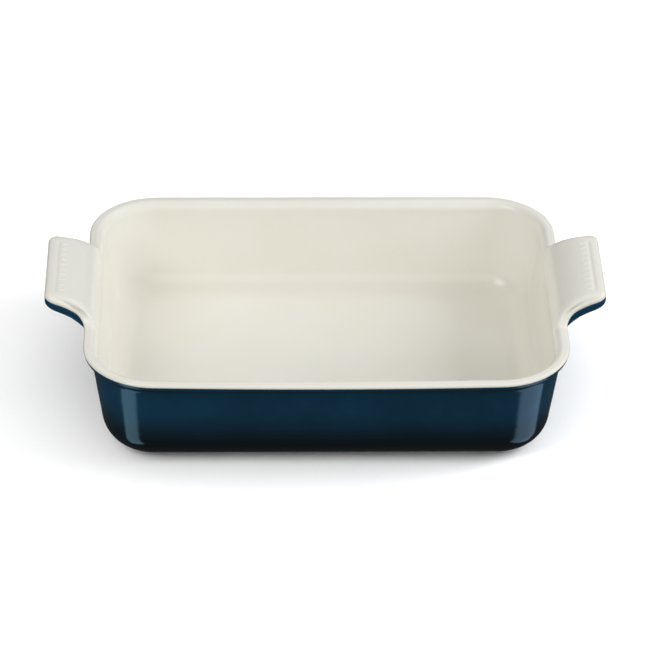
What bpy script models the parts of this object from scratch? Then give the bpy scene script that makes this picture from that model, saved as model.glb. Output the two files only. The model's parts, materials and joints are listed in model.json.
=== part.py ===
"""Rectangular stoneware baking dish with a handle at each end: clay body, clay handles, foot ring
and three coats of glaze, each a closed solid of its own. Metres, +Z up, standing on z = 0."""
import math

import bmesh
import bpy
from mathutils import Vector

MM = 0.001

# Rim outline, seen from above, at the lip's outer face
RIM_LENGTH = 317 * MM
RIM_WIDTH = 228 * MM
RIM_HEIGHT = 74.5 * MM
CORNER_RADIUS = 45.5 * MM
LONG_SIDE_BOW = 2.0 * MM
LONG_SIDE_SAG = 1.2 * MM
BOW_FADES_OVER = 25 * MM

# Section through the wall; an inset is a distance in from the rim outline
LIP_TOP_INNER_INSET = 4.0 * MM
LIP_EDGE_RADIUS = 1.5 * MM
LIP_FACE_HEIGHT = 4.3 * MM
LIP_FACE_LEAN = 0.6 * MM
LIP_SLOPE_HEIGHT = 4.0 * MM
WALL_TOP_INSET = 5.2 * MM
OUTER_DRAFT = math.radians(7.8)
INNER_WALL_TOP_INSET = 9.3 * MM
INNER_WALL_TOP_DROP = 8.0 * MM
INNER_DRAFT = math.radians(8.5)
BASE_HEIGHT = 2.0 * MM
FLOOR_HEIGHT = 9.5 * MM
OUTER_FILLET_RADIUS = 22.6 * MM
INNER_FILLET_RADIUS = 19.0 * MM

# Handles: a tab that rises out of the inner wall, over the lip and outwards
HANDLE_REACH = 26.2 * MM
HANDLE_RISE = 17.0 * MM
HANDLE_HALF_WIDTH = 41.0 * MM
HANDLE_TIP_HALF_WIDTH = 40.0 * MM
HANDLE_THICKNESS = 9.0 * MM
HANDLE_EDGE_RADIUS = 2.5 * MM
HANDLE_CORNER_RADIUS = 8.0 * MM
HANDLE_ROOT_RADIUS = 7.5 * MM
HANDLE_CREST_INSET = -22.5 * MM
HANDLE_UNDERSIDE_ROOT_INSET = 2.0 * MM
HANDLE_FAIRING_DROP = 17.0 * MM
RISE_LEVELS_OFF = 1.3
TOP_RISE_POWER = 0.5
UNDERSIDE_RISE_POWER = 0.8

# Foot ring under the base
FOOT_OUTER_INSET = 34.5 * MM
FOOT_WIDTH = 4.5 * MM

# Coats and the clearance that touching solids keep
GLAZE_THICKNESS = 0.7 * MM
GAP = 0.3 * MM
CLAY_DEPTH = GLAZE_THICKNESS + GAP
COLOUR_BREAK_DROP = 1.9 * MM
HANDLE_JOINT_X = RIM_LENGTH / 2 + 0.5 * MM

HALF_LENGTH = RIM_LENGTH / 2
HALF_WIDTH = RIM_WIDTH / 2
CORNER_X = HALF_LENGTH - CORNER_RADIUS
CORNER_Y = HALF_WIDTH - CORNER_RADIUS

# How finely the outline and the section are divided
CORNER_STEPS = 6
LONG_SIDE_STEPS = 4
ROUND_STEPS = 3
FILLET_STEPS = 4

GLAZE_ROUGHNESS = 0.12
CLAY_ROUGHNESS = 0.7
CREAM = (0.80, 0.77, 0.68)
TEAL = (0.008, 0.035, 0.07)
CLAY = (0.66, 0.58, 0.47)


def spread(start, end, steps, with_start=True):
    """Evenly spaced values from start to end."""
    first = 0 if with_start else 1
    return [start + (end - start) * i / steps for i in range(first, steps + 1)]


def arc(centre, radii, start, end, steps, with_start=True):
    """Points of an elliptical arc, with its angles in degrees."""
    angles = [math.radians(a) for a in spread(start, end, steps, with_start)]
    return [(centre[0] + radii[0] * math.cos(a), centre[1] + radii[1] * math.sin(a)) for a in angles]


def handle_outline():
    """A quarter of the outline that has a handle: (place on the plain rim, place on the handle's edge),
    as y on the rim and x, y on the edge, from the handle's middle to where it leaves the rim."""
    tip_x = HALF_LENGTH + HANDLE_REACH
    corner = (tip_x - HANDLE_CORNER_RADIUS, HANDLE_TIP_HALF_WIDTH - HANDLE_CORNER_RADIUS)
    root = (HALF_LENGTH + HANDLE_ROOT_RADIUS, HANDLE_HALF_WIDTH + HANDLE_ROOT_RADIUS)
    edge = [(tip_x, y) for y in spread(0, corner[1], 2)]
    edge += arc(corner, (HANDLE_CORNER_RADIUS,) * 2, 0, 90, ROUND_STEPS, with_start=False)
    edge += arc(root, (HANDLE_ROOT_RADIUS,) * 2, 270, 180, ROUND_STEPS)
    on_rim = spread(0, corner[1], 2)
    on_rim += spread(corner[1], root[1], len(edge) - len(on_rim), with_start=False)
    return list(zip(on_rim, edge))


def quarter_columns():
    """Every column of one quarter of the dish, as (side, place along it, edge point or None)."""
    columns = [("end", y, edge) for y, edge in handle_outline()]
    root_y = columns[-1][1]
    columns += [("end", y, None) for y in spread(root_y, CORNER_Y, 2, with_start=False)]
    columns += [("corner", a, None) for a in spread(0, math.pi / 2, CORNER_STEPS, with_start=False)]
    columns += [("long", x, None) for x in spread(CORNER_X, 0, LONG_SIDE_STEPS, with_start=False)]
    return columns


def rim_point(side, along, inset):
    """Where a column lies at an inset from the rim: x, y and how much of the sag it takes."""
    if side == "end":
        x, y = HALF_LENGTH - inset, along
    elif side == "corner":
        radius = CORNER_RADIUS - inset
        x, y = CORNER_X + radius * math.cos(along), CORNER_Y + radius * math.sin(along)
    else:
        x, y = along, HALF_WIDTH - inset
    bow = (1 - (x / HALF_LENGTH) ** 2) * min(1, y / HALF_WIDTH) ** 4
    bow *= max(0, 1 - inset / BOW_FADES_OVER)
    return x, y + LONG_SIDE_BOW * bow, bow


def edge_normals(columns):
    """The direction into the handle, square to its edge, at each column that has a handle."""
    edges = [edge for _, _, edge in columns if edge]
    edges = [(edges[1][0], -edges[1][1])] + edges + [(HALF_LENGTH, edges[-1][1] + HANDLE_ROOT_RADIUS)]
    normals = []
    for before, after in zip(edges, edges[2:]):
        along = Vector((after[0] - before[0], after[1] - before[1])).normalized()
        normals.append((-along.y, along.x))
    return normals


def mirror_round(quarter):
    """A quarter's points from +X to +Y, carried all the way round."""
    left = [(-x, y, z) for x, y, z in reversed(quarter[:-1])]
    half = quarter + left
    return half + [(x, -y, z) for x, y, z in reversed(half[1:-1])]


COLUMNS = quarter_columns()
NORMALS = edge_normals(COLUMNS)


def ring(plain, handle=None, edge_inset=0.0, rise_power=TOP_RISE_POWER):
    """One closed loop round the dish. plain is its (inset, height) on the wall, handle the same where
    the handle is at its full reach, and edge_inset how far it keeps in from the handle's edge. Towards
    the handle's root its height falls back to the plain one, the faster the higher rise_power is."""
    inset, height = plain
    handle_inset, handle_height = handle or plain
    share = (inset - handle_inset) / (inset + HANDLE_REACH - edge_inset)
    quarter = []
    for number, (side, along, edge) in enumerate(COLUMNS):
        x, y, bow = rim_point(side, along, inset)
        z = height - LONG_SIDE_SAG * bow
        if edge and handle:
            out = edge[0] - HALF_LENGTH
            keep_in = inset + (edge_inset - inset) * out / HANDLE_REACH
            x += share * (edge[0] + keep_in * NORMALS[number][0] - x)
            y += share * (edge[1] + keep_in * NORMALS[number][1] - y)
            risen = (1 - (1 - out / HANDLE_REACH) ** RISE_LEVELS_OFF) ** rise_power
            z += (handle_height - height) * risen
        quarter.append((x, y, z))
    return mirror_round(quarter)


def fillet_rows(wall_inset, wall_height, draft, bottom, radius):
    """(inset, height) points from a leaning wall round its bottom fillet to the flat."""
    centre_z = bottom + radius
    tangent_z = centre_z - radius * math.sin(draft)
    tangent_inset = wall_inset + (wall_height - tangent_z) * math.tan(draft)
    centre = (tangent_inset + radius * math.cos(draft), centre_z)
    return arc(centre, (-radius, -radius), math.degrees(draft), 90, FILLET_STEPS)


def inner_rings():
    """The cream side, from the cooking floor up the wall, over the lip and the handle's top."""
    wall_top = (INNER_WALL_TOP_INSET, RIM_HEIGHT - INNER_WALL_TOP_DROP)
    fillet = fillet_rows(*wall_top, INNER_DRAFT, FLOOR_HEIGHT, INNER_FILLET_RADIUS)
    rings = [ring(p) for p in reversed(fillet)]
    lip_radii = (wall_top[0] - LIP_TOP_INNER_INSET, INNER_WALL_TOP_DROP)
    lip = arc((LIP_TOP_INNER_INSET, wall_top[1]), lip_radii, 0, 90, 3)
    lip.append((LIP_EDGE_RADIUS, RIM_HEIGHT))
    radii = (wall_top[0] - HANDLE_CREST_INSET, HANDLE_RISE + INNER_WALL_TOP_DROP)
    top = arc((HANDLE_CREST_INSET, wall_top[1]), radii, 0, 90, 4)
    rings += [ring(p, h, HANDLE_EDGE_RADIUS) for p, h in zip(lip, top)]
    lip_centre = (LIP_EDGE_RADIUS, RIM_HEIGHT - LIP_EDGE_RADIUS)
    lip_edge = arc(lip_centre, (-LIP_EDGE_RADIUS, LIP_EDGE_RADIUS), 90, 0, 2, with_start=False)
    tab_centre = (0, RIM_HEIGHT + HANDLE_RISE - HANDLE_EDGE_RADIUS)
    tab_edge = arc(tab_centre, (HANDLE_EDGE_RADIUS,) * 2, 90, 0, 2, with_start=False)
    for p, (along, height) in zip(lip_edge, tab_edge):
        keep_in = HANDLE_EDGE_RADIUS - along
        rings.append(ring(p, (keep_in - HANDLE_REACH, height), keep_in))
    return rings


def outer_rings():
    """The dark side, from just under the colour break down the lip, the handle's underside and the
    wall, round the bottom fillet to the foot ring."""
    break_z = RIM_HEIGHT - COLOUR_BREAK_DROP
    crest = RIM_HEIGHT + HANDLE_RISE
    lip_foot = (LIP_FACE_LEAN, RIM_HEIGHT - LIP_FACE_HEIGHT)
    wall_top = (WALL_TOP_INSET, lip_foot[1] - LIP_SLOPE_HEIGHT)
    under = crest - HANDLE_THICKNESS
    edge = HANDLE_EDGE_RADIUS
    rings = [ring((0, break_z), (-HANDLE_REACH, crest - edge - 2 * GAP), 0)]
    corner = edge * (1 - math.cos(math.pi / 4))
    low_edge = (corner - HANDLE_REACH, under + corner)
    rings.append(ring((LIP_FACE_LEAN / 2, lip_foot[1] + GAP), low_edge, corner, UNDERSIDE_RISE_POWER))
    slope = zip(spread(lip_foot[0], wall_top[0], 3), spread(lip_foot[1], wall_top[1], 3))
    radii = (HANDLE_UNDERSIDE_ROOT_INSET - HANDLE_CREST_INSET, under - RIM_HEIGHT + INNER_WALL_TOP_DROP)
    underside = arc((HANDLE_CREST_INSET, RIM_HEIGHT - INNER_WALL_TOP_DROP), radii, 90, 0, 3)
    rings += [ring(p, h, edge, UNDERSIDE_RISE_POWER) for p, h in zip(slope, underside)]
    fairing_z = RIM_HEIGHT - HANDLE_FAIRING_DROP
    rings.append(ring((WALL_TOP_INSET + (wall_top[1] - fairing_z) * math.tan(OUTER_DRAFT), fairing_z)))
    rings += [ring(p) for p in fillet_rows(*wall_top, OUTER_DRAFT, BASE_HEIGHT, OUTER_FILLET_RADIUS)]
    rings.append(ring((FOOT_OUTER_INSET - GAP, BASE_HEIGHT)))
    return rings


def loft(rings, closed):
    """A mesh through the rings: a closed tube of rings, or a solid capped at its first and last."""
    mesh = bmesh.new()
    loops = [[mesh.verts.new(p) for p in points] for points in rings]
    pairs = list(zip(loops, loops[1:]))
    if closed:
        pairs.append((loops[-1], loops[0]))
    for low, high in pairs:
        for i, here in enumerate(low):
            after = (i + 1) % len(low)
            if (here.co - high[after].co).length < (low[after].co - high[i].co).length:
                mesh.faces.new((here, low[after], high[after]))
                mesh.faces.new((here, high[after], high[i]))
            else:
                mesh.faces.new((here, low[after], high[i]))
                mesh.faces.new((low[after], high[after], high[i]))
    if not closed:
        mesh.faces.new(reversed(loops[0]))
        mesh.faces.new(loops[-1])
    bmesh.ops.recalc_face_normals(mesh, faces=mesh.faces)
    mesh.normal_update()
    return mesh, loops


def sink(mesh_and_loops, depth):
    """The rings of a closed surface, each point moved straight into the body by depth."""
    _, loops = mesh_and_loops
    return [[tuple(v.co - v.normal * depth) for v in loop] for loop in loops]


def add_object(name, mesh, colour, roughness, collection):
    """Turn a bmesh into a named object with its own material."""
    data = bpy.data.meshes.new(name)
    mesh.to_mesh(data)
    mesh.free()
    data.shade_smooth()
    data.set_sharp_from_angle(angle=math.radians(40))
    material = bpy.data.materials.new(name)
    material.use_nodes = True
    shader = material.node_tree.nodes["Principled BSDF"]
    shader.inputs["Base Color"].default_value = (*colour, 1)
    shader.inputs["Roughness"].default_value = roughness
    shader.inputs["Metallic"].default_value = 0.0
    data.materials.append(material)
    item = bpy.data.objects.new(name, data)
    collection.objects.link(item)
    return item


def keep_side(mesh, x, outwards):
    """Cut a mesh square across at x, keep one side of the cut and close it with a flat face."""
    direction = 1 if x > 0 else -1
    geometry = mesh.verts[:] + mesh.edges[:] + mesh.faces[:]
    bmesh.ops.bisect_plane(
        mesh, geom=geometry, dist=1e-7, plane_co=(x, 0, 0), plane_no=(direction, 0, 0),
        clear_inner=outwards, clear_outer=not outwards)
    rim = [edge for edge in mesh.edges if edge.is_boundary]
    cap = bmesh.ops.holes_fill(mesh, edges=rim, sides=0)["faces"]
    bmesh.ops.triangulate(mesh, faces=cap, quad_method="BEAUTY", ngon_method="BEAUTY")
    bmesh.ops.recalc_face_normals(mesh, faces=mesh.faces)
    return mesh


def main():
    for item in list(bpy.data.objects):
        bpy.data.objects.remove(item, do_unlink=True)
    dish = bpy.data.collections.new("baking_dish")
    bpy.context.scene.collection.children.link(dish)

    inner = inner_rings()
    outer = outer_rings()
    skin = loft(inner + outer, closed=False)
    visible = sink(skin, 0)
    glaze_back = sink(skin, GLAZE_THICKNESS)
    clay = sink(skin, CLAY_DEPTH)
    # Along the handle's low edge two rows lie so close that the sunk clay would fold over there, so
    # one row midway between them serves for both
    low_edge = len(inner) + 1
    pairs = zip(clay[low_edge], clay[low_edge + 1])
    clay[low_edge:low_edge + 2] = [[tuple((a + b) / 2 for a, b in zip(p, q)) for p, q in pairs]]
    skin[0].free()
    cream_rows = len(inner)

    cream, _ = loft(visible[:cream_rows] + glaze_back[cream_rows - 1::-1], closed=False)
    add_object("cream_glaze", cream, CREAM, GLAZE_ROUGHNESS, dish)
    teal, _ = loft(visible[cream_rows:] + glaze_back[:cream_rows - 1:-1], closed=True)
    add_object("teal_glaze", teal, TEAL, GLAZE_ROUGHNESS, dish)

    basin, _ = loft(clay, closed=False)
    for x in (-HANDLE_JOINT_X, HANDLE_JOINT_X):
        keep_side(basin, x, outwards=False)
    add_object("stoneware_basin", basin, CLAY, CLAY_ROUGHNESS, dish)
    for name, side in (("left_handle", -1), ("right_handle", 1)):
        handle, _ = loft(clay, closed=False)
        keep_side(handle, side * (HANDLE_JOINT_X + GAP), outwards=True)
        add_object(name, handle, CLAY, CLAY_ROUGHNESS, dish)

    foot_top = BASE_HEIGHT + CLAY_DEPTH - GAP
    foot_inner_inset = FOOT_OUTER_INSET + FOOT_WIDTH
    section = [(FOOT_OUTER_INSET, 0), (foot_inner_inset, 0)]
    section += [(foot_inner_inset, foot_top), (FOOT_OUTER_INSET, foot_top)]
    foot, _ = loft([ring(corner) for corner in section], closed=True)
    add_object("foot_ring", foot, CLAY, CLAY_ROUGHNESS, dish)

    panel_inset = foot_inner_inset + GAP
    panel = [ring((panel_inset, z)) for z in (BASE_HEIGHT, BASE_HEIGHT + GLAZE_THICKNESS)]
    base, _ = loft(panel, closed=False)
    add_object("base_glaze", base, TEAL, GLAZE_ROUGHNESS, dish)


main()
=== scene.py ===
"""Rectangular stoneware baking dish: the glaze coats, the foot, the grip ribs and the studio, built
round the packed clay body. Laid out as an add-on and run as a script. Lengths are in metres."""
import json
import math

import bpy
from mathutils import Matrix, Vector


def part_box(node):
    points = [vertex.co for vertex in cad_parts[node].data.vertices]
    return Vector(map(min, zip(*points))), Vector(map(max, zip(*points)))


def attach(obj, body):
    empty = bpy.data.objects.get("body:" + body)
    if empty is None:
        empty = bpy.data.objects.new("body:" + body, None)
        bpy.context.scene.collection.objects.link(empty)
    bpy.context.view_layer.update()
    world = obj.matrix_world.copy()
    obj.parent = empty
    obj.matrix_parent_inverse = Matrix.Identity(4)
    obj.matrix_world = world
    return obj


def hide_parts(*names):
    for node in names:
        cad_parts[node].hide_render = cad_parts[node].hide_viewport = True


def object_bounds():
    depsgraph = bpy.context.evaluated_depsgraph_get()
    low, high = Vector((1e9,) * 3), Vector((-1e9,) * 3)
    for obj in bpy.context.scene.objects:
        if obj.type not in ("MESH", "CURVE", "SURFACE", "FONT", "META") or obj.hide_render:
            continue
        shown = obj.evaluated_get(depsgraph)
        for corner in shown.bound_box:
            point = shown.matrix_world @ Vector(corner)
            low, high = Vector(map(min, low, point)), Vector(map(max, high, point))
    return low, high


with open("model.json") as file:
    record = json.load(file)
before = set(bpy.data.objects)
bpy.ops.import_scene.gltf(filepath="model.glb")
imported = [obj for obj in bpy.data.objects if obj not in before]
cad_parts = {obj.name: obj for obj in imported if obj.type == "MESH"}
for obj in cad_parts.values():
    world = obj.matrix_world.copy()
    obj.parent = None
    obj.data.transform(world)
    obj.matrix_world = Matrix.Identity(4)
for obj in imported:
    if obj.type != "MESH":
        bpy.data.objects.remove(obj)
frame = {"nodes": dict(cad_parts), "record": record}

bl_info = {
    "name": "Stoneware baking dish",
    "version": (1, 0, 0),
    "blender": (4, 5, 0),
    "location": "View3D > Sidebar > Baking dish",
    "description": "Glaze, foot and grip ribs of a rectangular baking dish, and a studio to show it in",
    "category": "Object",
}

MM = 0.001
CAD_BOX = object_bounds()

# Sizes of the dish, some given and some read from the imported model
GAP = 0.3 * MM
CLAY_PAST_RIM_END = 0.5 * MM
BOW = 2.0 * MM
SAG = 1.2 * MM
HANDLE_RISE = 17.0 * MM
HALF_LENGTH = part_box("stoneware_basin")[1].x - CLAY_PAST_RIM_END
HALF_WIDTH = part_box("teal_glaze")[1].y - BOW
RIM_Z = CAD_BOX[1].z - HANDLE_RISE
REACH = CAD_BOX[1].x - HALF_LENGTH
BASE_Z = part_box("base_glaze")[0].z
FOOT_OUTER = HALF_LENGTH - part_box("foot_ring")[1].x
FOOT_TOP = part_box("foot_ring")[1].z
PANEL_INSET = HALF_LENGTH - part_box("base_glaze")[1].x
FLOOR_Z = next(m["pos_m"][2] for m in frame["record"]["mounts"] if m["name"] == "cooking_floor")

# Rim outline from above, and how many columns each stretch of a quarter of it has
CORNER_RADIUS = 45.5 * MM
BOW_FADES_OVER = 25 * MM
HANDLE_COLUMNS = 52
END_COLUMNS = 8
CORNER_COLUMNS = 20
SIDE_COLUMNS = 12

# Section through the wall; an inset is a distance in from the rim outline
LIP_INNER_INSET = 4.0 * MM
LIP_EDGE_RADIUS = 1.5 * MM
BREAK_DROP = 1.7 * MM
LIP_FOOT = (0.6 * MM, RIM_Z - 4.3 * MM)
WALL_TOP = (5.2 * MM, RIM_Z - 8.3 * MM)
OUTER_DRAFT = math.radians(7.8)
INNER_WALL_TOP = (9.3 * MM, RIM_Z - 8.0 * MM)
INNER_DRAFT = math.radians(8.5)
OUTER_FILLET = 22.6 * MM
INNER_FILLET = 19.0 * MM
LIP_FOOT_BEND = 0.8 * MM
COVE_ABOVE = 1.9 * MM
COVE_BELOW = 2.2 * MM
FOOT_WORN = 1.0 * MM

# How many rows each stretch of a section has
INNER_FILLET_ROWS = 14
LIP_ROWS = 60
EDGE_ROWS = 7
FACE_ROWS = 4
LIP_FOOT_ROWS = 6
UNDER_ROWS = 16
FAIRING_ROWS = 10
OUTER_FILLET_ROWS = 18

# Handles
CREST_Z = RIM_Z + HANDLE_RISE
HANDLE_THICKNESS = 9.0 * MM
HANDLE_EDGE = 2.5 * MM
HANDLE_BREAK_DROP = 2.8 * MM
TIP_HALF_WIDTH = 40.0 * MM
TIP_CORNER = 8.0 * MM
ROOT_HALF_WIDTH = 41.0 * MM
ROOT_RADIUS = 7.5 * MM
CREST_INSET = -22.5 * MM
UNDERSIDE_ROOT_INSET = 2.0 * MM
FAIRING_DROP = 17.0 * MM
RISE_LEVELS_OFF = 1.3
TOP_RISE_POWER = 0.5
UNDER_RISE_POWER = 0.8
RISE_SOFTENING = 0.002

# The groove behind the bead at a handle's end, and where it fades out towards the handle's sides
GROOVE_FROM_TIP = 7.0 * MM
GROOVE_HALF_WIDTH = 1.5 * MM
GROOVE_FADES = (27 * MM, 33 * MM)

# How far above the handles the ribs are dropped from
RAYS_START_ABOVE = 50 * MM

# How far below the rim the painted shade on the dark glaze starts, and where it is darkest
SHADE_STARTS = 26 * MM
SHADE_FULL = 56 * MM


def linear(colour):
    """An sRGB hex colour as linear red, green, blue and alpha."""
    parts = [int(colour[i:i + 2], 16) / 255 for i in (1, 3, 5)]
    return (*[p / 12.92 if p <= 0.04045 else ((p + 0.055) / 1.055) ** 2.4 for p in parts], 1.0)


def add(tree, kind, inputs=None, **settings):
    """Add a node to a tree with its settings, and give its sockets values or the sockets that feed them."""
    made = tree.nodes.new(kind)
    for name, value in settings.items():
        setattr(made, name, value)
    for key, value in (inputs or {}).items():
        if isinstance(value, bpy.types.Node):
            value = value.outputs[0]
        if isinstance(value, bpy.types.NodeSocket):
            tree.links.new(value, made.inputs[key])
        else:
            made.inputs[key].default_value = value
    return made


# Paths, as lists of points


def arc(centre, radii, start, end, steps):
    """Points of an elliptical arc from one angle in degrees to another."""
    angles = [math.radians(start + (end - start) * i / steps) for i in range(steps + 1)]
    return [Vector((centre[0] + radii[0] * math.cos(a), centre[1] + radii[1] * math.sin(a))) for a in angles]


def bend(start, corner, end, steps):
    """A smooth bend from start to end that a corner point pulls outwards."""
    places = [i / steps for i in range(steps + 1)]
    start, corner, end = Vector(start), Vector(corner), Vector(end)
    return [start * (1 - t) ** 2 + corner * 2 * t * (1 - t) + end * t * t for t in places]


def even(path, steps):
    """The same path with its points an equal distance apart."""
    path = [Vector(point) for point in path]
    reached = [0.0]
    for before, after in zip(path, path[1:]):
        reached.append(reached[-1] + (after - before).length)
    points, place = [], 0
    for i in range(steps + 1):
        wanted = reached[-1] * i / steps
        while place < len(path) - 2 and reached[place + 1] < wanted:
            place += 1
        run = reached[place + 1] - reached[place]
        points.append(path[place].lerp(path[place + 1], (wanted - reached[place]) / run))
    return points


# The outline, column by column


def smooth_step(value, low, high):
    """0 at low and 1 at high, with a smooth run between them."""
    t = min(1.0, max(0.0, (value - low) / (high - low)))
    return t * t * (3 - 2 * t)


def rise(share, power):
    """How far the handle has climbed where it reaches this share of its length outwards."""
    def soft(value):
        return (value + RISE_SOFTENING) ** power - RISE_SOFTENING ** power
    return soft(1 - (1 - share) ** RISE_LEVELS_OFF) / soft(1.0)


def column(rim, inward, edge=None, edge_inward=None):
    """One column of the outline: its place and direction on the plain rim and on the handle's edge."""
    edge = edge or rim
    share = min(1.0, max(0.0, (edge[0] - HALF_LENGTH) / REACH))
    return {
        "rim": Vector((*rim, 0)),
        "inward": Vector((*inward, 0)),
        "edge": Vector((*edge, 0)),
        "edge_inward": Vector((*(edge_inward or inward), 0)),
        "reach_share": share,
        "rise_top": rise(share, TOP_RISE_POWER),
        "rise_under": rise(share, UNDER_RISE_POWER),
        "bead": (1 - smooth_step(edge[1], *GROOVE_FADES)) if share > 0.9 else 0.0,
    }


def handle_columns(count):
    """Columns from the handle's middle to its root. Each place on the edge has a place on the plain rim,
    and the two draw together smoothly towards the root."""
    tip = Vector((HALF_LENGTH + REACH, 0))
    corner = (tip.x - TIP_CORNER, TIP_HALF_WIDTH - TIP_CORNER)
    root = (HALF_LENGTH + ROOT_RADIUS, ROOT_HALF_WIDTH + ROOT_RADIUS)
    edge = [tip] + arc(corner, (TIP_CORNER,) * 2, 0, 90, 24) + arc(root, (ROOT_RADIUS,) * 2, 270, 180, 24)
    length = sum((b - a).length for a, b in zip(edge, edge[1:]))
    edge = even(edge, count)
    columns = []
    for i, point in enumerate(edge):
        before = edge[i - 1] if i else Vector((point.x, -edge[1].y))
        after = edge[i + 1] if i < count else Vector((point.x, 2 * point.y - before.y))
        along = (after - before).normalized()
        run = length * i / count
        rim_y = run - (length - root[1]) * (run / length) ** 3
        columns.append(column((HALF_LENGTH, rim_y), (-1, 0), tuple(point), (-along.y, along.x)))
    return columns


def outline_columns():
    """Every column, once round the dish from the middle of the +X side."""
    corner = Vector((HALF_LENGTH - CORNER_RADIUS, HALF_WIDTH - CORNER_RADIUS))
    root_y = ROOT_HALF_WIDTH + ROOT_RADIUS
    quarter = handle_columns(HANDLE_COLUMNS)
    for i in range(1, END_COLUMNS + 1):
        quarter.append(column((HALF_LENGTH, root_y + (corner.y - root_y) * i / END_COLUMNS), (-1, 0)))
    for place in arc((0, 0), (1, 1), 0, 90, CORNER_COLUMNS)[1:]:
        quarter.append(column(tuple(corner + place * CORNER_RADIUS), tuple(-place)))
    for i in range(1, SIDE_COLUMNS + 1):
        quarter.append(column((corner.x * (1 - i / SIDE_COLUMNS), HALF_WIDTH), (0, -1)))

    def mirrored(columns, flip):
        return [
            {key: value * flip if isinstance(value, Vector) else value for key, value in item.items()}
            for item in reversed(columns)]

    half = quarter + mirrored(quarter[:-1], Vector((-1, 1, 1)))
    return half + mirrored(half[1:-1], Vector((1, -1, 1)))


# The sections, row by row


def row(plain, handle=None, keep_in=0.0, under=0.0, shrink=1.0, groove=0.0, thin=0.0, pool=0.0):
    """One row of a section: its (inset, height) on the plain wall and on the handle at full reach."""
    handle = handle or plain
    return {
        "inset": plain[0],
        "height": plain[1],
        "handle_height": handle[1],
        "keep_in": keep_in,
        "share": (plain[0] - handle[0]) / (plain[0] + REACH - keep_in),
        "under": under,
        "shrink": shrink,
        "groove": groove,
        "thin": thin,
        "pool": pool,
    }


def fillet(wall_top, draft, bottom, radius, steps):
    """Points from a leaning wall round its bottom fillet to the flat."""
    centre_z = bottom + radius
    tangent_inset = wall_top[0] + (wall_top[1] - centre_z + radius * math.sin(draft)) * math.tan(draft)
    centre = (tangent_inset + radius * math.cos(draft), centre_z)
    return arc(centre, (-radius, -radius), math.degrees(draft), 90, steps)


def cream_section():
    """From the middle of the cooking floor up the inner wall, over the lip and the handle's top."""
    curve = fillet(INNER_WALL_TOP, INNER_DRAFT, FLOOR_Z, INNER_FILLET, INNER_FILLET_ROWS)[::-1]
    rows = [row(curve[0], shrink=i / 5) for i in range(5)]
    # Painted warm shade, strongest in the middle of the bottom curve
    rows += [row(p, pool=math.sin(math.pi * i / INNER_FILLET_ROWS)) for i, p in enumerate(curve)]
    rows += [row(p) for p in even([curve[-1], INNER_WALL_TOP], 6)[1:-1]]

    lip_start = 3 * LIP_ROWS // 4
    lip_radii = (INNER_WALL_TOP[0] - LIP_INNER_INSET, RIM_Z - INNER_WALL_TOP[1])
    plain = arc((LIP_INNER_INSET, INNER_WALL_TOP[1]), lip_radii, 0, 90, lip_start)
    plain += even([plain[-1], (LIP_EDGE_RADIUS, RIM_Z)], LIP_ROWS - lip_start)[1:]
    radii = (INNER_WALL_TOP[0] - CREST_INSET, CREST_Z - INNER_WALL_TOP[1])
    handle = arc((CREST_INSET, INNER_WALL_TOP[1]), radii, 0, 90, LIP_ROWS)
    for p, h in zip(plain, handle):
        groove = max(0.0, 1 - ((h[0] - GROOVE_FROM_TIP + REACH) / GROOVE_HALF_WIDTH) ** 2) ** 2
        rows.append(row(p, h, HANDLE_EDGE, groove=groove))

    radii = (-LIP_EDGE_RADIUS, LIP_EDGE_RADIUS)
    plain = arc((LIP_EDGE_RADIUS, RIM_Z - LIP_EDGE_RADIUS), radii, 90, 0, EDGE_ROWS)[1:]
    radii = (-HANDLE_EDGE, HANDLE_EDGE)
    handle = arc((HANDLE_EDGE, CREST_Z - HANDLE_EDGE), radii, 90, 0, EDGE_ROWS)[1:]
    for p, h in zip(plain, handle):
        rows.append(row(p, (h[0] - REACH, h[1]), h[0], thin=1 - p[0] / LIP_EDGE_RADIUS))
    rows.append(row((0, RIM_Z - BREAK_DROP), (-REACH, CREST_Z - HANDLE_BREAK_DROP), thin=1.0))
    return rows


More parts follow.
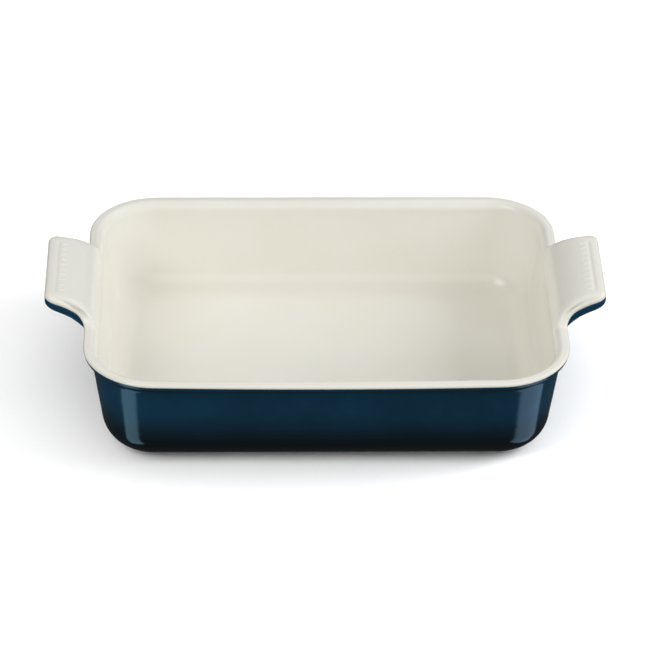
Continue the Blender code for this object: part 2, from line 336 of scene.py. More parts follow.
def teal_section():
    """From the colour break down the lip and the handle's underside, the wall and the bottom fillet."""
    under_z = CREST_Z - HANDLE_THICKNESS
    slope = (Vector(WALL_TOP) - Vector(LIP_FOOT)).normalized()
    down = Vector((math.tan(OUTER_DRAFT), -1)).normalized()
    face = (Vector((0, RIM_Z - BREAK_DROP)) - Vector(LIP_FOOT)).normalized()

    above = Vector(LIP_FOOT) + face * LIP_FOOT_BEND
    below = Vector(LIP_FOOT) + slope * LIP_FOOT_BEND
    plain = even([(0, RIM_Z - BREAK_DROP), above], FACE_ROWS)
    handle = even([(0, CREST_Z - HANDLE_BREAK_DROP), (0, under_z + HANDLE_EDGE)], FACE_ROWS)
    rows = []
    for i, (p, h) in enumerate(zip(plain, handle)):
        rows.append(row(p, (-REACH, h[1]), under=i / FACE_ROWS, thin=1 - i / FACE_ROWS))
    plain = bend(above, LIP_FOOT, below, LIP_FOOT_ROWS)[1:]
    radii = (-HANDLE_EDGE, -HANDLE_EDGE)
    handle = arc((HANDLE_EDGE, under_z + HANDLE_EDGE), radii, 0, 90, LIP_FOOT_ROWS)[1:]
    rows += [row(p, (h[0] - REACH, h[1]), h[0], 1.0) for p, h in zip(plain, handle)]

    cove = bend(Vector(WALL_TOP) - slope * COVE_ABOVE, WALL_TOP, Vector(WALL_TOP) + down * COVE_BELOW, 12)
    fairing_inset = WALL_TOP[0] + (FAIRING_DROP - RIM_Z + WALL_TOP[1]) * math.tan(OUTER_DRAFT)
    fairing_foot = (fairing_inset, RIM_Z - FAIRING_DROP)
    plain = even([below] + cove[:7], UNDER_ROWS)[1:]
    underside_radii = (UNDERSIDE_ROOT_INSET - CREST_INSET, under_z - INNER_WALL_TOP[1])
    handle = arc((CREST_INSET, INNER_WALL_TOP[1]), underside_radii, 90, 0, UNDER_ROWS)[1:]
    rows += [row(p, h, HANDLE_EDGE, 1.0) for p, h in zip(plain, handle)]
    plain = even(cove[6:] + [fairing_foot], FAIRING_ROWS)[1:]
    for i, p in enumerate(plain, 1):
        blend = smooth_step(i, 0, FAIRING_ROWS)
        inset = UNDERSIDE_ROOT_INSET + (fairing_foot[0] - UNDERSIDE_ROOT_INSET) * blend
        height = handle[-1].y + (fairing_foot[1] - handle[-1].y) * i / FAIRING_ROWS
        rows.append(row(p, (inset, height), HANDLE_EDGE, 1.0))

    curve = fillet(WALL_TOP, OUTER_DRAFT, BASE_Z, OUTER_FILLET, OUTER_FILLET_ROWS)
    wall = even([fairing_foot, curve[0]], 12)[1:-1] + curve
    wall += even([curve[-1], (FOOT_OUTER - GAP, BASE_Z)], 2)[1:]
    # Painted shade: the dark glaze is darkened towards the bottom of the wall
    rows += [row(p, under=1.0, pool=smooth_step(RIM_Z - p.y, SHADE_STARTS, SHADE_FULL)) for p in wall]
    return rows


def panel_section():
    """The glazed base inside the foot, from the foot to its middle."""
    # Painted shade under the dish, darkest next to the foot
    return [row((PANEL_INSET, BASE_Z), shrink=1 - i / 6, pool=1.0 - 0.15 * i) for i in range(7)]


def foot_section():
    """A closed ring: ground flat below, with its corners worn round and its top against the clay."""
    width = PANEL_INSET - GAP - FOOT_OUTER
    path = [Vector((0, FOOT_TOP))] + bend((0, FOOT_WORN), (0, 0), (FOOT_WORN, 0), 5)
    path += bend((width - FOOT_WORN, 0), (width, 0), (width, FOOT_WORN), 5) + [Vector((width, FOOT_TOP))]
    return [row((FOOT_OUTER + p.x, p.y)) for p in path + path[:1]]


# Geometry Nodes


def new_tree(name, sockets):
    """A Geometry Nodes tree with these named inputs and one geometry out. Returns it and its input node."""
    tree = bpy.data.node_groups.new(name, "GeometryNodeTree")
    for label, kind in sockets:
        tree.interface.new_socket(label, in_out="INPUT", socket_type="NodeSocket" + kind)
    tree.interface.new_socket("Geometry", in_out="OUTPUT", socket_type="NodeSocketGeometry")
    return tree, add(tree, "NodeGroupInput")


def end_tree(tree, geometry, material):
    """Finish a tree: real geometry, smooth faces and its material."""
    real = add(tree, "GeometryNodeRealizeInstances", {"Geometry": geometry})
    smooth = add(tree, "GeometryNodeSetShadeSmooth", {"Geometry": real})
    painted = add(tree, "GeometryNodeSetMaterial", {"Geometry": smooth, "Material": material})
    add(tree, "NodeGroupOutput", {"Geometry": painted})


def loft_tree():
    """Sweeps a section round the outline. Each vertex of the outline is a column and each of the section a
    row; a grid point takes its row and column and is mixed between the plain wall and the handle."""
    tree, given = new_tree("Loft round the rim", (
        ("Outline", "Geometry"), ("Section", "Object"), ("Half Length", "Float"), ("Half Width", "Float"),
        ("Bow", "Float"), ("Sag", "Float"), ("Bow Fades Over", "Float"), ("Groove Depth", "Float"),
        ("Material", "Material")))
    outline = given.outputs["Outline"]
    section = add(tree, "GeometryNodeObjectInfo", {"Object": given.outputs["Section"]}).outputs["Geometry"]
    column_count = add(tree, "GeometryNodeAttributeDomainSize", {"Geometry": outline})
    row_count = add(tree, "GeometryNodeAttributeDomainSize", {"Geometry": section})
    across = add(tree, "ShaderNodeMath", {0: column_count, 1: 1.0}, operation="ADD")
    grid = add(tree, "GeometryNodeMeshGrid", {"Vertices X": row_count, "Vertices Y": across})

    index = add(tree, "GeometryNodeInputIndex")
    middle = add(tree, "ShaderNodeMath", {0: index, 1: 0.5}, operation="ADD")
    row_place = add(tree, "ShaderNodeMath", {0: middle, 1: across}, operation="DIVIDE")
    row_index = add(tree, "ShaderNodeMath", {0: row_place}, operation="FLOOR")
    along_row = add(tree, "ShaderNodeMath", {0: index, 1: across}, operation="MODULO")
    column_index = add(tree, "ShaderNodeMath", {0: along_row, 1: column_count}, operation="MODULO")

    read = {}
    for source, where, kind, names in (
            (outline, column_index, "FLOAT_VECTOR", ("rim", "inward", "edge", "edge_inward")),
            (outline, column_index, "FLOAT", ("reach_share", "rise_top", "rise_under", "bead")),
            (section, row_index, "FLOAT", (
                "inset", "height", "handle_height", "keep_in", "share", "under", "shrink", "groove",
                "thin", "pool"))):
        for name in names:
            named = add(tree, "GeometryNodeInputNamedAttribute", {"Name": name}, data_type=kind)
            read[name] = add(
                tree, "GeometryNodeSampleIndex", {"Geometry": source, "Value": named, "Index": where},
                data_type=kind)

    plain = add(
        tree, "ShaderNodeVectorMath", {0: read["inward"], 1: read["inset"], 2: read["rim"]},
        operation="MULTIPLY_ADD")
    keep = add(tree, "ShaderNodeMix", {0: read["reach_share"], 2: read["inset"], 3: read["keep_in"]})
    edge = add(
        tree, "ShaderNodeVectorMath", {0: read["edge_inward"], 1: keep, 2: read["edge"]},
        operation="MULTIPLY_ADD")
    flat_place = add(tree, "ShaderNodeMix", {0: read["share"], 4: plain, 5: edge}, data_type="VECTOR")
    shrunk = add(
        tree, "ShaderNodeVectorMath", {0: flat_place.outputs[1], "Scale": read["shrink"]}, operation="SCALE")

    climbed = add(tree, "ShaderNodeMix", {0: read["under"], 2: read["rise_top"], 3: read["rise_under"]})
    level = add(tree, "ShaderNodeMix", {0: climbed, 2: read["height"], 3: read["handle_height"]})
    dip = add(tree, "ShaderNodeMath", {0: read["groove"], 1: read["bead"]}, operation="MULTIPLY")
    deep = add(tree, "ShaderNodeMath", {0: dip, 1: given.outputs["Groove Depth"]}, operation="MULTIPLY")

    # The long sides bow outwards and sag a little along their middles
    parts = add(tree, "ShaderNodeSeparateXYZ", {0: plain})
    x_share = add(
        tree, "ShaderNodeMath", {0: parts.outputs["X"], 1: given.outputs["Half Length"]}, operation="DIVIDE")
    x_square = add(tree, "ShaderNodeMath", {0: x_share, 1: x_share}, operation="MULTIPLY")
    from_ends = add(tree, "ShaderNodeMath", {0: 1.0, 1: x_square}, operation="SUBTRACT")
    y_size = add(tree, "ShaderNodeMath", {0: parts.outputs["Y"]}, operation="ABSOLUTE")
    y_share = add(tree, "ShaderNodeMath", {0: y_size, 1: given.outputs["Half Width"]}, operation="DIVIDE")
    y_power = add(tree, "ShaderNodeMath", {0: y_share, 1: 4.0}, operation="POWER")
    faded = add(
        tree, "ShaderNodeMapRange",
        {"Value": read["inset"], "From Max": given.outputs["Bow Fades Over"], "To Min": 1.0, "To Max": 0.0})
    side = add(tree, "ShaderNodeMath", {0: from_ends, 1: y_power}, operation="MULTIPLY")
    bow = add(tree, "ShaderNodeMath", {0: side, 1: faded}, operation="MULTIPLY")
    y_sign = add(tree, "ShaderNodeMath", {0: parts.outputs["Y"]}, operation="SIGN")
    y_bow = add(tree, "ShaderNodeMath", {0: bow, 1: y_sign}, operation="MULTIPLY")
    y_move = add(tree, "ShaderNodeMath", {0: y_bow, 1: given.outputs["Bow"]}, operation="MULTIPLY")
    sag = add(tree, "ShaderNodeMath", {0: bow, 1: given.outputs["Sag"]}, operation="MULTIPLY")
    lower = add(tree, "ShaderNodeMath", {0: level, 1: sag}, operation="SUBTRACT")
    z = add(tree, "ShaderNodeMath", {0: lower, 1: deep}, operation="SUBTRACT")
    lift = add(tree, "ShaderNodeCombineXYZ", {"Y": y_move, "Z": z})
    place = add(tree, "ShaderNodeVectorMath", {0: shrunk, 1: lift}, operation="ADD")

    placed = add(tree, "GeometryNodeSetPosition", {"Geometry": grid, "Position": place})
    # Store the share of the glaze's thin edge and the share of painted shade for the materials
    for name in ("thin", "pool"):
        placed = add(
            tree, "GeometryNodeStoreNamedAttribute", {"Geometry": placed, "Name": name, "Value": read[name]},
            data_type="FLOAT", domain="POINT")
    closed = add(tree, "GeometryNodeMergeByDistance", {"Geometry": placed, "Distance": 0.001 * MM})
    end_tree(tree, closed, given.outputs["Material"])
    return tree


def rib_tree():
    """A row of short half-round ribs laid on a coat, each rounded off at its ends."""
    tree, given = new_tree("Ribs on a coat", (
        ("Geometry", "Geometry"), ("Coat", "Object"), ("Count", "Int"), ("Pitch", "Float"),
        ("Length", "Float"), ("Radius", "Float"), ("Height", "Float"), ("Middle X", "Float"),
        ("Above", "Float"), ("Material", "Material")))
    last = add(tree, "ShaderNodeMath", {0: given.outputs["Count"], 1: 1.0}, operation="SUBTRACT")
    run = add(tree, "ShaderNodeMath", {0: last, 1: given.outputs["Pitch"]}, operation="MULTIPLY")
    start_y = add(tree, "ShaderNodeMath", {0: run, 1: -0.5}, operation="MULTIPLY")
    start = add(
        tree, "ShaderNodeCombineXYZ",
        {"X": given.outputs["Middle X"], "Y": start_y, "Z": given.outputs["Above"]})
    step = add(tree, "ShaderNodeCombineXYZ", {"Y": given.outputs["Pitch"]})
    places = add(
        tree, "GeometryNodeMeshLine",
        {"Count": given.outputs["Count"], "Start Location": start, "Offset": step})
    half = add(tree, "ShaderNodeMath", {0: given.outputs["Length"], 1: 0.5}, operation="MULTIPLY")
    back = add(tree, "ShaderNodeMath", {0: given.outputs["Length"], 1: -0.5}, operation="MULTIPLY")
    from_point = add(tree, "ShaderNodeCombineXYZ", {"X": back})
    to_point = add(tree, "ShaderNodeCombineXYZ", {"X": half})
    line = add(tree, "GeometryNodeCurvePrimitiveLine", {"Start": from_point, "End": to_point})
    spine = add(tree, "GeometryNodeResampleCurve", {"Curve": line, "Count": 13})
    copies = add(tree, "GeometryNodeInstanceOnPoints", {"Points": places, "Instance": spine})
    spines = add(tree, "GeometryNodeRealizeInstances", {"Geometry": copies})

    coat = add(tree, "GeometryNodeObjectInfo", {"Object": given.outputs["Coat"]}).outputs["Geometry"]
    position = add(tree, "GeometryNodeInputPosition")
    hit = add(
        tree, "GeometryNodeRaycast",
        {"Target Geometry": coat, "Source Position": position, "Ray Direction": (0, 0, -1),
         "Ray Length": 1.0})
    sink = add(
        tree, "ShaderNodeMath", {0: given.outputs["Height"], 1: given.outputs["Radius"]},
        operation="SUBTRACT")
    drop = add(tree, "ShaderNodeCombineXYZ", {"Z": sink})
    resting = add(tree, "ShaderNodeVectorMath", {0: hit.outputs["Hit Position"], 1: drop}, operation="ADD")
    laid = add(tree, "GeometryNodeSetPosition", {"Geometry": spines, "Position": resting})

    along = add(tree, "GeometryNodeSplineParameter")
    centred = add(tree, "ShaderNodeMath", {0: along, 1: 2.0, 2: -1.0}, operation="MULTIPLY_ADD")
    square = add(tree, "ShaderNodeMath", {0: centred, 1: 4.0}, operation="POWER")
    plump = add(tree, "ShaderNodeMath", {0: 1.02, 1: square}, operation="SUBTRACT")
    taper = add(tree, "ShaderNodeMath", {0: plump}, operation="SQRT")
    sized = add(tree, "ShaderNodeMath", {0: taper, 1: given.outputs["Radius"]}, operation="MULTIPLY")
    profile = add(tree, "GeometryNodeCurvePrimitiveCircle", {"Resolution": 12, "Radius": 1.0}, mode="RADIUS")
    ribs = add(
        tree, "GeometryNodeCurveToMesh",
        {"Curve": laid, "Profile Curve": profile.outputs["Curve"], "Scale": sized, "Fill Caps": True})
    end_tree(tree, ribs, given.outputs["Material"])
    return tree


def tree_named(name, build):
    """The tree of that name, built the first time it is wanted."""
    return bpy.data.node_groups.get(name) or build()


def attribute_mesh(name, records):
    """A helper object with one vertex for each record, which carries the record's values as attributes."""
    mesh = bpy.data.meshes.new(name)
    mesh.vertices.add(len(records))
    for key, first in records[0].items():
        vector = isinstance(first, Vector)
        layer = mesh.attributes.new(key, "FLOAT_VECTOR" if vector else "FLOAT", "POINT")
        for item, record in zip(layer.data, records):
            if vector:
                item.vector = record[key]
            else:
                item.value = record[key]
    holder = bpy.data.objects.new(name, mesh)
    bpy.context.scene.collection.objects.link(holder)
    return holder


def give_nodes(holder, tree, values):
    """Put a tree on an object as a modifier and set its inputs."""
    modifier = holder.modifiers.new(tree.name, "NODES")
    modifier.node_group = tree
    for item in tree.interface.items_tree:
        if item.in_out == "INPUT" and item.name in values:
            modifier[item.identifier] = values[item.name]


def make_plain(holder, name, replaced=()):
    """Turn what the modifiers make into a plain mesh piece that rides on the dish."""
    bpy.context.view_layer.update()
    evaluated = holder.evaluated_get(bpy.context.evaluated_depsgraph_get())
    mesh = bpy.data.meshes.new_from_object(evaluated)
    if not mesh.polygons:
        raise RuntimeError(f"{name} came out empty")
    bpy.data.meshes.remove(holder.data)
    mesh.name = name
    piece = bpy.data.objects.new(name, mesh)
    bpy.context.scene.collection.objects.link(piece)
    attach(piece, "root")
    if replaced:
        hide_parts(*replaced)


def loft(name, section, material, replaced, coat=0.0):
    """Loft a section round the dish, and give it the thickness of a coat if it has one."""
    holder = attribute_mesh(name, outline_columns())
    profile = attribute_mesh(name + "_section", section)
    tree = tree_named("Loft round the rim", loft_tree)
    give_nodes(holder, tree, {
        "Section": profile, "Half Length": HALF_LENGTH, "Half Width": HALF_WIDTH, "Bow": BOW, "Sag": SAG,
        "Bow Fades Over": BOW_FADES_OVER, "Groove Depth": bpy.context.scene.baking_dish.groove_depth,
        "Material": material})
    if coat:
        solid = holder.modifiers.new("Coat", "SOLIDIFY")
        solid.thickness = coat
        solid.offset = -1
        solid.use_even_offset = True
    make_plain(holder, name, replaced)
    bpy.data.meshes.remove(profile.data)


# Materials


def new_material(name):
    """An empty node material. Returns it, its tree, its shader and its object coordinates."""
    material = bpy.data.materials.new(name)
    material.use_nodes = True
    tree = material.node_tree
    tree.nodes.clear()
    shader = add(tree, "ShaderNodeBsdfPrincipled")
    add(tree, "ShaderNodeOutputMaterial", {"Surface": shader})
    place = add(tree, "ShaderNodeTexCoord").outputs["Object"]
    return material, tree, shader, place


def material_named(name, build):
    """The material of that name, built the first time it is wanted."""
    return bpy.data.materials.get(name) or build(name, bpy.context.scene.baking_dish)


def glaze_relief(tree, place, peel_mm, peel_depth, wave_mm, wave_depth):
    """The normal of a fired glaze: a fine orange peel on a long, shallow wave. Sizes are real ones in mm."""
    peel = add(
        tree, "ShaderNodeTexNoise",
        {"Vector": place, "Scale": 1000 / peel_mm, "Detail": 1.0, "Roughness": 0.4})
    wave = add(tree, "ShaderNodeTexNoise", {"Vector": place, "Scale": 1000 / wave_mm, "Detail": 1.0})
    waved = add(
        tree, "ShaderNodeBump", {"Strength": 1.0, "Distance": wave_depth * MM, "Height": wave.outputs[0]})
    return add(
        tree, "ShaderNodeBump",
        {"Strength": 1.0, "Distance": peel_depth * MM, "Height": peel.outputs[0], "Normal": waved})


def cream_glaze(name, looks):
    """Cream glaze on stoneware, sprayed and fired: opaque and glossy, a shade warmer and darker in the bottom
    curve with painted warm shade, paler where it thins on the rim's edge, with a faint drift of colour."""
    material, tree, shader, place = new_material(name)
    drift = add(tree, "ShaderNodeTexNoise", {"Vector": place, "Scale": 1000 / 55, "Detail": 2.0})
    drift_share = add(
        tree, "ShaderNodeMapRange",
        {"Value": drift.outputs[0], "From Min": 0.35, "From Max": 0.65, "To Max": 0.35})
    body = add(
        tree, "ShaderNodeMix", {0: drift_share, 6: tuple(looks.cream), 7: tuple(looks.cream_warm)},
        data_type="RGBA")
    # Painted warm shade in the bottom curve, the colour of the light the cream bounces within the dish
    pool = add(tree, "ShaderNodeAttribute", attribute_name="pool")
    shade_share = add(tree, "ShaderNodeMath", {0: pool.outputs["Fac"], 1: 0.55}, operation="MULTIPLY")
    shaded = add(
        tree, "ShaderNodeMix", {0: shade_share, 6: body.outputs[2], 7: tuple(looks.cream_warm)},
        data_type="RGBA")
    thin = add(tree, "ShaderNodeAttribute", attribute_name="thin")
    # Mineral flecks about 4 mm apart and under 1 mm across, hardly darker than the glaze round them
    fleck = add(tree, "ShaderNodeTexVoronoi", {"Vector": place, "Scale": 1000 / 4.0}, feature="F1")
    fleck_share = add(
        tree, "ShaderNodeMapRange",
        {"Value": fleck.outputs["Distance"], "From Min": 0.04, "From Max": 0.12, "To Min": 0.25,
         "To Max": 0.0})
    flecked = add(
        tree, "ShaderNodeMix",
        {0: fleck_share, 6: shaded.outputs[2], 7: tuple(looks.cream_fleck)}, data_type="RGBA")
    rim = add(
        tree, "ShaderNodeMix",
        {0: thin.outputs["Fac"], 6: flecked.outputs[2], 7: tuple(looks.cream_thin)}, data_type="RGBA")
    tree.links.new(rim.outputs[2], shader.inputs["Base Color"])
    polish = add(tree, "ShaderNodeMapRange", {"Value": drift.outputs[0], "To Min": 0.15, "To Max": 0.25})
    tree.links.new(polish.outputs[0], shader.inputs["Roughness"])
    relief = glaze_relief(tree, place, 3.0, 0.02, 30.0, 0.15)
    tree.links.new(relief.outputs[0], shader.inputs["Normal"])
    shader.inputs["IOR"].default_value = 1.5
    return material


def teal_glaze(name, looks):
    """Deep blue-green glaze, a translucent coat sprayed over dark clay and fired: wet and glassy, paler
    where it draws back from the edges, and painted shade makes it almost black low on the wall and under the
    base."""
    material, tree, shader, place = new_material(name)
    cloud = add(
        tree, "ShaderNodeTexNoise", {"Vector": place, "Scale": 1000 / 35, "Detail": 3.0, "Roughness": 0.55})
    cloud_share = add(
        tree, "ShaderNodeMapRange",
        {"Value": cloud.outputs[0], "From Min": 0.3, "From Max": 0.7, "To Max": 0.6})
    body = add(
        tree, "ShaderNodeMix", {0: cloud_share, 6: tuple(looks.teal), 7: tuple(looks.teal_light)},
        data_type="RGBA")
    # Painted shade: near black low on the wall and under the base
    pool = add(tree, "ShaderNodeAttribute", attribute_name="pool")
    shaded = add(
        tree, "ShaderNodeMix", {0: pool.outputs["Fac"], 6: body.outputs[2], 7: tuple(looks.teal_shade)},
        data_type="RGBA")
    thin = add(tree, "ShaderNodeAttribute", attribute_name="thin")
    thin_share = add(tree, "ShaderNodeMath", {0: thin.outputs["Fac"], 1: 0.7}, operation="MULTIPLY")
    edged = add(
        tree, "ShaderNodeMix", {0: thin_share, 6: shaded.outputs[2], 7: tuple(looks.teal_thin)},
        data_type="RGBA")
    tree.links.new(edged.outputs[2], shader.inputs["Base Color"])
    polish = add(tree, "ShaderNodeMapRange", {"Value": cloud.outputs[0], "To Min": 0.10, "To Max": 0.19})
    tree.links.new(polish.outputs[0], shader.inputs["Roughness"])
    relief = glaze_relief(tree, place, 2.5, 0.02, 28.0, 0.2)
    tree.links.new(relief.outputs[0], shader.inputs["Normal"])
    shader.inputs["IOR"].default_value = 1.5
    return material


def fired_clay(name, looks):
    """Stoneware fired without glaze and ground flat: matt and buff, with iron specks 1 to 2 mm apart and
    the fine tooth of the grog."""
    material, tree, shader, place = new_material(name)
    tone = add(tree, "ShaderNodeTexNoise", {"Vector": place, "Scale": 1000 / 12, "Detail": 4.0})
    body = add(
        tree, "ShaderNodeMix", {0: tone.outputs[0], 6: tuple(looks.clay), 7: tuple(looks.clay_dark)},
        data_type="RGBA")
    speck = add(tree, "ShaderNodeTexVoronoi", {"Vector": place, "Scale": 1000 / 1.6}, feature="F1")
    speck_share = add(
        tree, "ShaderNodeMapRange",
        {"Value": speck.outputs["Distance"], "From Min": 0.1, "From Max": 0.22, "To Min": 0.7, "To Max": 0.0})
    specked = add(
        tree, "ShaderNodeMix", {0: speck_share, 6: body.outputs[2], 7: tuple(looks.clay_speck)},
        data_type="RGBA")
    tree.links.new(specked.outputs[2], shader.inputs["Base Color"])
    grog = add(tree, "ShaderNodeTexNoise", {"Vector": place, "Scale": 1000 / 0.8, "Detail": 3.0})
    tooth = add(
        tree, "ShaderNodeBump", {"Strength": 0.6, "Distance": 0.1 * MM, "Height": grog.outputs[0]})
    tree.links.new(tooth.outputs[0], shader.inputs["Normal"])
    shader.inputs["Roughness"].default_value = 0.85
    shader.inputs["IOR"].default_value = 1.45
    return material


def studio_paper(name, looks):
    """Matt white paper under the dish, with a tooth too fine to read as anything but matt."""
    material, tree, shader, place = new_material(name)
    tooth = add(tree, "ShaderNodeTexNoise", {"Vector": place, "Scale": 1000 / 2, "Detail": 2.0})
    tone = add(
        tree, "ShaderNodeMapRange", {"Value": tooth.outputs[0], "To Min": 0.90, "To Max": 0.93})
    tree.links.new(tone.outputs[0], shader.inputs["Base Color"])
    shader.inputs["Roughness"].default_value = 0.9
    shader.inputs["Specular IOR Level"].default_value = 0.1
    return material


# Settings, operators and panel


class BakingDishSettings(bpy.types.PropertyGroup):
    """Sizes and colours of the dish that a user may change."""
    coat: bpy.props.FloatProperty(
        name="Glaze thickness", description="Thickness of each coat of glaze",
        default=0.7 * MM, min=0.1 * MM, unit="LENGTH")
    groove_depth: bpy.props.FloatProperty(
        name="Groove depth", description="Depth of the groove behind the bead at each handle's end",
        default=0.5 * MM, min=0, unit="LENGTH")
    rib_count: bpy.props.IntProperty(
        name="Ribs", description="How many grip ribs each handle has", default=10, min=1)
    rib_pitch: bpy.props.FloatProperty(
        name="Rib pitch", description="From the middle of one rib to the next",
        default=6.2 * MM, unit="LENGTH")
    rib_length: bpy.props.FloatProperty(
        name="Rib length", description="Length of a rib along the dish", default=5.2 * MM, unit="LENGTH")
    rib_radius: bpy.props.FloatProperty(
        name="Rib radius", description="Radius of a rib's round back", default=0.75 * MM, unit="LENGTH")
    rib_height: bpy.props.FloatProperty(
        name="Rib height", description="How far a rib stands above the glaze",
        default=0.45 * MM, unit="LENGTH")
    rib_from_tip: bpy.props.FloatProperty(
        name="Rib distance", description="From a handle's end to the middle of its ribs",
        default=11.2 * MM, unit="LENGTH")
    cream: bpy.props.FloatVectorProperty(
        name="Cream", description="Colour of the cream glaze", subtype="COLOR", size=4,
        default=linear("#f1efe5"), min=0, max=1)
    # Also the colour of the painted warm shade in the bottom curve
    cream_warm: bpy.props.FloatVectorProperty(
        name="Warm cream", description="The warmer cream of the drift and of the painted shade in the bottom curve", subtype="COLOR", size=4,
        default=linear("#ece8da"), min=0, max=1)
    cream_thin: bpy.props.FloatVectorProperty(
        name="Thin cream", description="The cream glaze where it thins on the rim", subtype="COLOR",
        size=4, default=linear("#f4f0e3"), min=0, max=1)
    cream_fleck: bpy.props.FloatVectorProperty(
        name="Cream flecks", description="Fine flecks in the cream glaze", subtype="COLOR", size=4,
        default=linear("#e2dac2"), min=0, max=1)
    teal: bpy.props.FloatVectorProperty(
        name="Teal", description="Colour of the dark glaze", subtype="COLOR", size=4,
        default=linear("#113a51"), min=0, max=1)
    teal_light: bpy.props.FloatVectorProperty(
        name="Light teal", description="The lighter clouds in the dark glaze", subtype="COLOR", size=4,
        default=linear("#154966"), min=0, max=1)
    # Colour of the painted shade low on the wall and under the base
    teal_shade: bpy.props.FloatVectorProperty(
        name="Shaded teal", description="The dark glaze in painted shade low on the wall and under the base", subtype="COLOR", size=4,
        default=linear("#0d1a20"), min=0, max=1)
    teal_thin: bpy.props.FloatVectorProperty(
        name="Thin teal", description="The dark glaze where it draws back from an edge",
        subtype="COLOR", size=4, default=linear("#1d4b66"), min=0, max=1)
    clay: bpy.props.FloatVectorProperty(
        name="Clay", description="Colour of the unglazed stoneware", subtype="COLOR", size=4,
        default=linear("#cbb79a"), min=0, max=1)
    clay_dark: bpy.props.FloatVectorProperty(
        name="Dark clay", description="Darker parts of the unglazed stoneware", subtype="COLOR", size=4,
        default=linear("#b59d7d"), min=0, max=1)
    clay_speck: bpy.props.FloatVectorProperty(
        name="Iron specks", description="Specks of iron in the clay", subtype="COLOR", size=4,
        default=linear("#6e4f35"), min=0, max=1)


class BAKINGDISH_OT_cream_glaze(bpy.types.Operator):
    """Make the cream coat of the inside, the lip and the tops of the handles"""
    bl_idname = "baking_dish.cream_glaze"
    bl_label = "Cream glaze"

    def execute(self, context):
        material = material_named("Glazed stoneware, cream", cream_glaze)
        coat = context.scene.baking_dish.coat
        loft("cream_glaze_coat", cream_section(), material, ("cream_glaze",), coat)
        return {"FINISHED"}


class BAKINGDISH_OT_teal_glaze(bpy.types.Operator):
    """Make the dark coat of the outside and of the handles' undersides"""
    bl_idname = "baking_dish.teal_glaze"
    bl_label = "Teal glaze"

    def execute(self, context):
        material = material_named("Glazed stoneware, deep teal", teal_glaze)
        coat = context.scene.baking_dish.coat
        loft("teal_glaze_coat", teal_section(), material, ("teal_glaze",), coat)
        return {"FINISHED"}


class BAKINGDISH_OT_base(bpy.types.Operator):
    """Make the glazed panel under the dish and the unglazed foot round it"""
    bl_idname = "baking_dish.base"
    bl_label = "Base and foot"

    def execute(self, context):
        teal = material_named("Glazed stoneware, deep teal", teal_glaze)
        clay = material_named("Fired clay, ground", fired_clay)
        coat = context.scene.baking_dish.coat
        loft("base_panel_glaze", panel_section(), teal, ("base_glaze",), coat)
        loft("stoneware_foot", foot_section(), clay, ("foot_ring",))
        return {"FINISHED"}


class BAKINGDISH_OT_grip_ribs(bpy.types.Operator):
    """Lay a row of grip ribs on the top of each handle"""
    bl_idname = "baking_dish.grip_ribs"
    bl_label = "Grip ribs"

    def execute(self, context):
        looks = context.scene.baking_dish
        coat = bpy.data.objects.get("cream_glaze_coat")
        if coat is None:
            raise RuntimeError("the cream glaze has to be made before the ribs on it")
        material = material_named("Glazed stoneware, cream", cream_glaze)
        tree = tree_named("Ribs on a coat", rib_tree)
        for name, side in (("left_grip_ribs", -1), ("right_grip_ribs", 1)):
            holder = attribute_mesh(name, [{"place": 0.0}])
            give_nodes(holder, tree, {
                "Coat": coat, "Count": looks.rib_count, "Pitch": looks.rib_pitch,
                "Length": looks.rib_length, "Radius": looks.rib_radius, "Height": looks.rib_height,
                "Middle X": side * (HALF_LENGTH + REACH - looks.rib_from_tip),
                "Above": CREST_Z + RAYS_START_ABOVE, "Material": material})
            make_plain(holder, name)
        return {"FINISHED"}


class BAKINGDISH_OT_clay(bpy.types.Operator):
    """Give the clay body and handles under the glaze the look of fired stoneware"""
    bl_idname = "baking_dish.clay"
    bl_label = "Fired clay"

    def execute(self, context):
        clay = material_named("Fired clay, ground", fired_clay)
        for name in ("stoneware_basin", "left_handle", "right_handle"):
            for slot in frame["nodes"][name].material_slots:
                slot.material = clay
        return {"FINISHED"}


class BAKINGDISH_OT_stage(bpy.types.Operator):
    """Set up the floor, the soft lights and the camera"""
    bl_idname = "baking_dish.stage"
    bl_label = "Studio"

    def execute(self, context):
        scene = context.scene
        scene.view_settings.view_transform = "Standard"
        lay_floor(scene)
        light_world(scene)
        for lamp in LAMPS:
            hang_lamp(scene, *lamp)
        # The strongest lamp is kept out of reflections, where it would leave a hot spot in the corner
        bpy.data.objects["Right softbox"].visible_glossy = False
        place_camera(scene)
        return {"FINISHED"}


# The world's strength above and below the floor, and where a glossy surface mirrors it
SKY_STRENGTH = 0.45
GROUND_STRENGTH = 0.12
MIRRORED_STRENGTH = 0.05
FLOOR_HALF_SIZE = 4

# Name, target, azimuth, elevation, distance, width, height, watts, colour. The cards stand below the
# floor, out of its light, and only show as pale strips in the glaze of the corners.
FLOOR_LAMP = ("Floor lamp", (0, 0, 0), 0, 90, 2.0, 2.5, 2.5, 15, "#ffffff")
LAMPS = (
    ("Right softbox", (0, 0, 0.04), 0, 30, 1.3, 0.75, 0.75, 9.5, "#f7faff"),
    ("Left front softbox", (0, 0, 0.04), -137, 40, 1.3, 0.6, 0.6, 4.6, "#ffffff"),
    ("Front softbox", (0, 0, 0.04), -90, 30, 1.3, 0.8, 0.8, 2.1, "#ffffff"),
    ("Front left card", (-0.13, -0.1, 0.04), -148, -55, 1.1, 0.43, 0.43, 1.06, "#aae3ff"),
    ("Front right card", (0.14, -0.08, 0.04), -16, -54, 1.1, 0.75, 0.43, 1.6, "#b4ddff"),
)


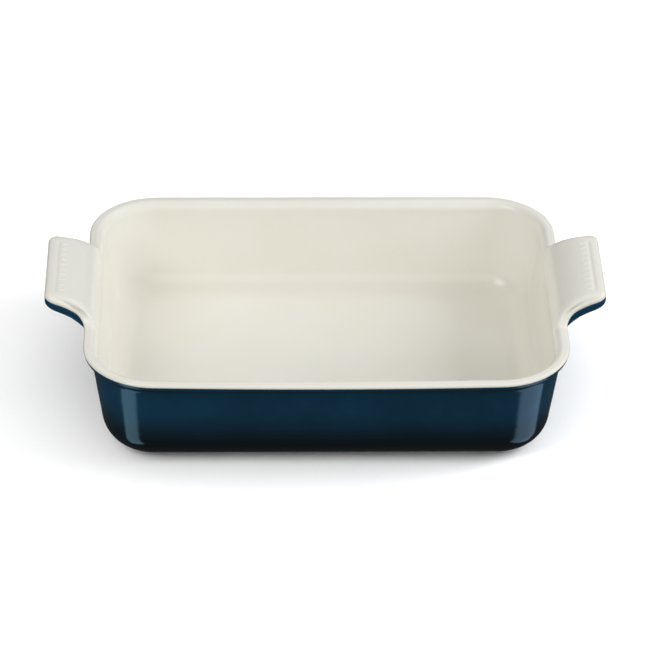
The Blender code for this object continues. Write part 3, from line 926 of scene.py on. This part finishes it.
def lay_floor(scene):
    """A plain pale floor with a lamp that lights it alone. The floor neither lights the dish nor is
    mirrored in it, as when black cards stand close round a dark glossy pot."""
    mesh = bpy.data.meshes.new("floor")
    corners = [(x * FLOOR_HALF_SIZE, y * FLOOR_HALF_SIZE, 0) for x, y in ((-1, -1), (1, -1), (1, 1), (-1, 1))]
    mesh.from_pydata(corners, [], [(0, 1, 2, 3)])
    mesh.materials.append(material_named("Studio paper, matt white", studio_paper))
    floor = bpy.data.objects.new("floor", mesh)
    scene.collection.objects.link(floor)
    floor.visible_glossy = False
    floor.visible_diffuse = False
    lamp = hang_lamp(scene, *FLOOR_LAMP)
    paper_only = bpy.data.collections.new("Lit by the floor lamp")
    paper_only.objects.link(floor)
    lamp.light_linking.receiver_collection = paper_only


def light_world(scene):
    """Soft light from above and a little from below, dimmer where the glaze mirrors it."""
    world = bpy.data.worlds.new("Studio")
    world.use_nodes = True
    scene.world = world
    tree = world.node_tree
    tree.nodes.clear()
    up = add(tree, "ShaderNodeSeparateXYZ", {0: add(tree, "ShaderNodeTexCoord").outputs["Generated"]})
    soft = add(
        tree, "ShaderNodeMapRange",
        {"Value": up.outputs["Z"], "From Min": -0.1, "From Max": 0.1, "To Min": GROUND_STRENGTH,
         "To Max": SKY_STRENGTH})
    rays = add(tree, "ShaderNodeLightPath")
    strength = add(tree, "ShaderNodeMix", {0: rays.outputs["Is Glossy Ray"], 2: soft, 3: MIRRORED_STRENGTH})
    light = add(tree, "ShaderNodeBackground", {"Color": (1, 1, 1, 1), "Strength": strength})
    add(tree, "ShaderNodeOutputWorld", {"Surface": light})


def hang_lamp(scene, name, target, azimuth, elevation, distance, width, height, watts, colour):
    """A rectangular soft lamp, turned to what it lights. Returns the lamp."""
    data = bpy.data.lights.new(name, "AREA")
    data.shape = "RECTANGLE"
    data.size = width
    data.size_y = height
    data.energy = watts
    data.color = linear(colour)[:3]
    azimuth, elevation = math.radians(azimuth), math.radians(elevation)
    level = math.cos(elevation)
    away = Vector((math.cos(azimuth) * level, math.sin(azimuth) * level, math.sin(elevation)))
    lamp = bpy.data.objects.new(name, data)
    lamp.location = Vector(target) + away * distance
    lamp.rotation_euler = (-away).to_track_quat("-Z", "Y").to_euler()
    scene.collection.objects.link(lamp)
    return lamp


def place_camera(scene):
    """A long lens, a little left of square on and looking down into the dish."""
    elevation, swing, roll = math.radians(33.84), math.radians(-1.70), math.radians(0.815)
    distance, target = 2.5008, Vector((2.6, 65.0, 0.0)) * MM
    level = math.cos(elevation)
    back = Vector((math.sin(swing) * level, -math.cos(swing) * level, math.sin(elevation)))
    right = (-back).cross(Vector((0, 0, 1))).normalized()
    up = right.cross(-back)
    rolled_right = right * math.cos(roll) + up * math.sin(roll)
    rolled_up = up * math.cos(roll) - right * math.sin(roll)
    data = bpy.data.cameras.new("Camera")
    data.lens = 199.7
    data.sensor_width = 36
    data.clip_end = 50
    camera = bpy.data.objects.new("Camera", data)
    turn = Matrix((rolled_right, rolled_up, back)).transposed().to_4x4()
    camera.matrix_world = Matrix.Translation(target + back * distance) @ turn
    scene.collection.objects.link(camera)
    scene.camera = camera


class BAKINGDISH_PT_panel(bpy.types.Panel):
    """Everything the dish is made of"""
    bl_idname = "BAKINGDISH_PT_panel"
    bl_label = "Baking dish"
    bl_space_type = "VIEW_3D"
    bl_region_type = "UI"
    bl_category = "Baking dish"

    def draw(self, context):
        settings = context.scene.baking_dish
        for name in BakingDishSettings.__annotations__:
            self.layout.prop(settings, name)
        for operator in OPERATORS:
            self.layout.operator(operator.bl_idname)


OPERATORS = (
    BAKINGDISH_OT_cream_glaze,
    BAKINGDISH_OT_teal_glaze,
    BAKINGDISH_OT_base,
    BAKINGDISH_OT_grip_ribs,
    BAKINGDISH_OT_clay,
    BAKINGDISH_OT_stage,
)
CLASSES = (BakingDishSettings, *OPERATORS, BAKINGDISH_PT_panel)


def register():
    for item in CLASSES:
        bpy.utils.register_class(item)
    bpy.types.Scene.baking_dish = bpy.props.PointerProperty(type=BakingDishSettings)


def unregister():
    del bpy.types.Scene.baking_dish
    for item in reversed(CLASSES):
        bpy.utils.unregister_class(item)


def main():
    register()
    bpy.ops.baking_dish.cream_glaze()
    bpy.ops.baking_dish.teal_glaze()
    bpy.ops.baking_dish.base()
    bpy.ops.baking_dish.grip_ribs()
    bpy.ops.baking_dish.clay()
    bpy.ops.baking_dish.stage()


if __name__ == "__main__":
    main()
